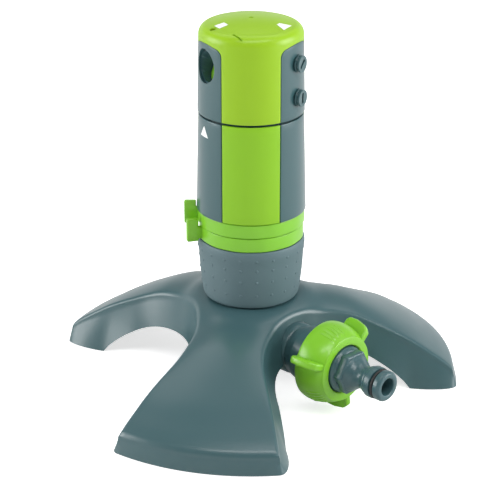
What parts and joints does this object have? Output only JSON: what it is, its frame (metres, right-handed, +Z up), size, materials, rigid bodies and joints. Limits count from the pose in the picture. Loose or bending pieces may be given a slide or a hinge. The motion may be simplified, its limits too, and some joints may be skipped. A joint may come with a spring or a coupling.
{
  "type": "gear-drive sprinkler",
  "caption": "Lawn sprinkler on a splayed dome base, with a side hose inlet, arc rings, a geared rotating turret and a turning head with a jet outlet and slotted fan nozzles.",
  "frame": {"origin": "on the turret's axis at ground level, in the middle of the flat foot of the upright water pipe", "axes": "+Z up along the turret's axis, +X along the hose inlet, away from the turret"},
  "size_m": [0.203, 0.214, 0.1943],
  "materials": {
    "slate_plastic": "satin moulded",
    "panel_plastic": "semi-gloss moulded",
    "grip_plastic": "matte moulded",
    "lime_plastic": "gloss moulded",
    "gear_plastic": "natural acetal",
    "seal_rubber": "smooth",
    "stainless_steel": "turned"
  },
  "bodies": {
    "base": {"base_shell": "slate_plastic", "inlet_elbow": "slate_plastic", "base_screw_1": "stainless_steel", "base_screw_2": "stainless_steel", "base_screw_3": "stainless_steel", "inlet_strainer": "gear_plastic", "inlet_washer": "seal_rubber", "hose_adapter": "slate_plastic", "nose_o_ring": "seal_rubber", "riser_seal": "seal_rubber", "thrust_washer": "gear_plastic", "grip_collar": "grip_plastic", "ring_gear": "gear_plastic"},
    "nut": {"coupling_nut": "lime_plastic"},
    "lower_ring": {"arc_ring_lower": "lime_plastic"},
    "upper_ring": {"arc_ring_upper": "lime_plastic"},
    "turret": {"turret_spindle": "slate_plastic", "spindle_clip": "stainless_steel", "body_shell": "panel_plastic", "body_stripe_1": "lime_plastic", "body_stripe_2": "lime_plastic", "body_stripe_3": "lime_plastic", "stator_plate": "slate_plastic", "gearbox_screw_1": "stainless_steel", "gearbox_screw_2": "stainless_steel", "gearbox_screw_3": "stainless_steel", "centre_shaft": "stainless_steel", "side_shaft": "stainless_steel", "port_plate": "slate_plastic", "port_seal": "seal_rubber", "detent_ball": "stainless_steel", "detent_spring": "stainless_steel"},
    "output": {"output_gear": "gear_plastic"},
    "centre": {"centre_gear": "gear_plastic"},
    "side": {"side_gear": "gear_plastic"},
    "rotor": {"turbine": "gear_plastic"},
    "trip": {"trip_lever": "gear_plastic"},
    "diverter": {"diverter_ring": "gear_plastic"},
    "head": {"head_shell": "panel_plastic", "head_cap": "lime_plastic", "head_manifold": "slate_plastic", "selector_pivot": "stainless_steel", "jet_nozzle": "lime_plastic"},
    "upper_fan": {"fan_nozzle_upper": "panel_plastic"},
    "lower_fan": {"fan_nozzle_lower": "panel_plastic"},
    "breaker": {"radius_screw": "stainless_steel"}
  },
  "joints": [
    {"name": "turret_turn", "type": "hinge", "parent": "base", "child": "turret", "pos_m": [0, 0, 0.079], "axis": [0, 0, 1], "continuous": true},
    {"name": "coupling_nut_turn", "type": "hinge", "parent": "base", "child": "nut", "pos_m": [0.0553, 0, 0.0265], "axis": [1, 0, 0], "continuous": true},
    {"name": "arc_end_lower", "type": "hinge", "parent": "base", "child": "lower_ring", "pos_m": [0, 0, 0.0842], "axis": [0, 0, 1], "range_deg": [-5, 160]},
    {"name": "arc_end_upper", "type": "hinge", "parent": "base", "child": "upper_ring", "pos_m": [0, 0, 0.0917], "axis": [0, 0, 1], "range_deg": [-160, 5]},
    {"name": "output_spin", "type": "hinge", "parent": "turret", "child": "output", "pos_m": [-0.012, 0, 0.1], "axis": [0, 0, 1], "continuous": true},
    {"name": "centre_spin", "type": "hinge", "parent": "turret", "child": "centre", "pos_m": [0, 0, 0.104], "axis": [0, 0, 1], "continuous": true},
    {"name": "side_spin", "type": "hinge", "parent": "turret", "child": "side", "pos_m": [-0.012, 0, 0.108], "axis": [0, 0, 1], "continuous": true},
    {"name": "turbine_spin", "type": "hinge", "parent": "turret", "child": "rotor", "pos_m": [0, 0, 0.116], "axis": [0, 0, 1], "continuous": true},
    {"name": "trip_swing", "type": "hinge", "parent": "turret", "child": "trip", "pos_m": [0.01273, -0.01273, 0.105], "axis": [0, 0, 1], "range_deg": [-15.1, 15.1]},
    {"name": "diverter_turn", "type": "hinge", "parent": "turret", "child": "diverter", "pos_m": [0, 0, 0.1155], "axis": [0, 0, 1], "range_deg": [-6.1, 6.1]},
    {"name": "head_select", "type": "hinge", "parent": "turret", "child": "head", "pos_m": [0, 0, 0.147], "axis": [0, 0, 1], "range_deg": [-120, 120]},
    {"name": "upper_fan_twist", "type": "hinge", "parent": "head", "child": "upper_fan", "pos_m": [0.025, 0.0067, 0.175], "axis": [0.9659, 0.2588, 0], "range_deg": [-90, 90]},
    {"name": "lower_fan_twist", "type": "hinge", "parent": "head", "child": "lower_fan", "pos_m": [0.025, 0.0067, 0.1577], "axis": [0.9659, 0.2588, 0], "range_deg": [-90, 90]},
    {"name": "radius_screw_turn", "type": "hinge", "parent": "head", "child": "breaker", "pos_m": [-0.00518, -0.01932, 0.185], "axis": [0, 0, 1], "continuous": true}
  ],
  "couplings": [
    {"joint": "output_spin", "follows": "turret_turn", "ratio": -5},
    {"joint": "centre_spin", "follows": "turret_turn", "ratio": 15},
    {"joint": "side_spin", "follows": "turret_turn", "ratio": -45},
    {"joint": "turbine_spin", "follows": "turret_turn", "ratio": 135},
    {"joint": "trip_swing", "follows": "diverter_turn", "ratio": -2.4615}
  ]
}
